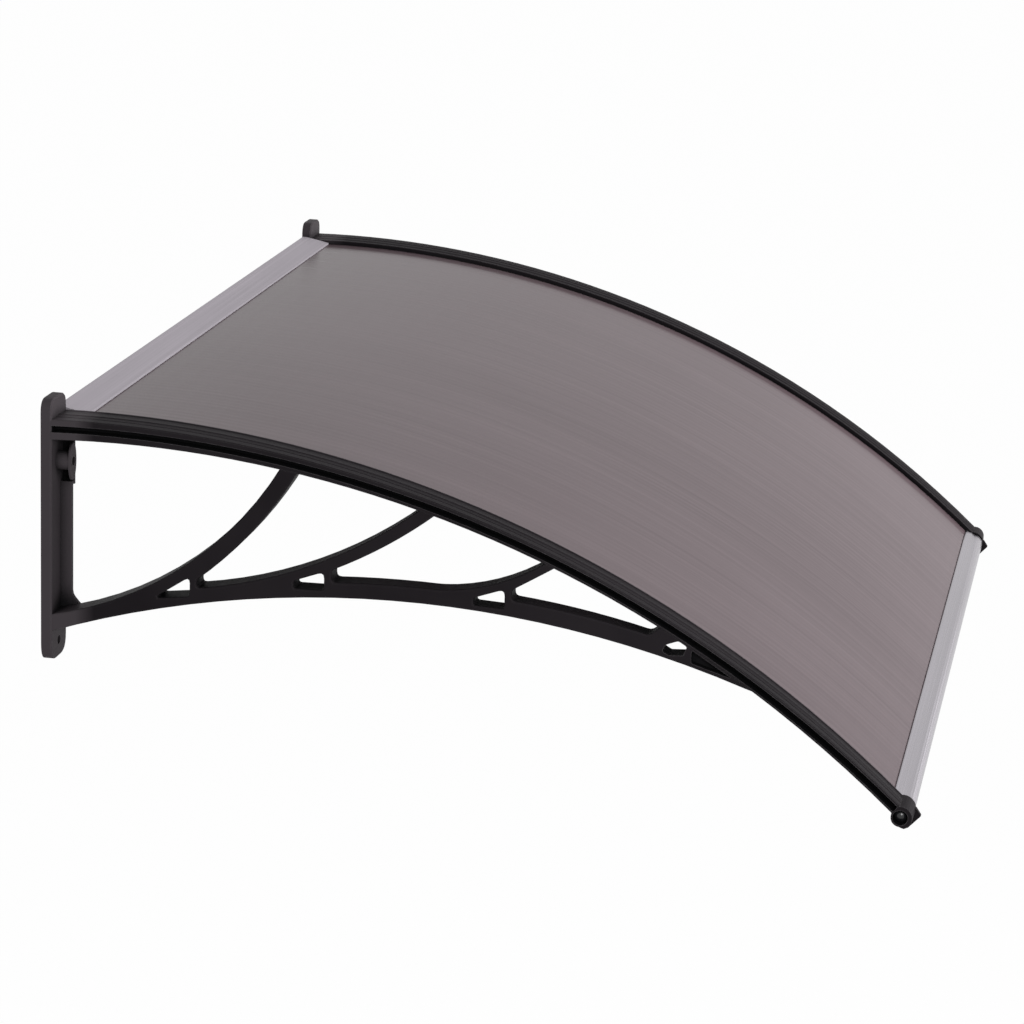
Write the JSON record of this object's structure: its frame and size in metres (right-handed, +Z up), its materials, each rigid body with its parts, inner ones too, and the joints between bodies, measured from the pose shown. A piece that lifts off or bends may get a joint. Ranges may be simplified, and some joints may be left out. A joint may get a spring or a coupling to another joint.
{
  "type": "door_canopy",
  "caption": "Wall-mounted door canopy: two moulded truss brackets, a curved twin-wall sheet and aluminium edge profiles",
  "frame": {"origin": "Centre of the rear profile's back face, on the wall plane.", "axes": "+X runs along the canopy's width, +Y points into the wall, so the canopy reaches out towards -Y, and +Z is up."},
  "size_m": [1, 0.8071, 0.3366],
  "materials": {
    "bracket_moulding": "fine satin black moulding",
    "cap_moulding": "glossy black dome",
    "sheet_polycarbonate": "translucent brown-grey twin-wall sheet",
    "rear_profile_metal": "natural extruded aluminium",
    "front_profile_metal": "natural extruded aluminium",
    "bolt_steel": "zinc-plated steel"
  },
  "bodies": {
    "root": {"bracket_left": "bracket_moulding", "bracket_right": "bracket_moulding", "canopy_sheet": "sheet_polycarbonate", "rear_profile": "rear_profile_metal", "front_profile": "front_profile_metal", "front_bolt_left": "bolt_steel", "front_bolt_right": "bolt_steel", "front_cap_left": "cap_moulding", "front_cap_right": "cap_moulding"}
  },
  "joints": []
}
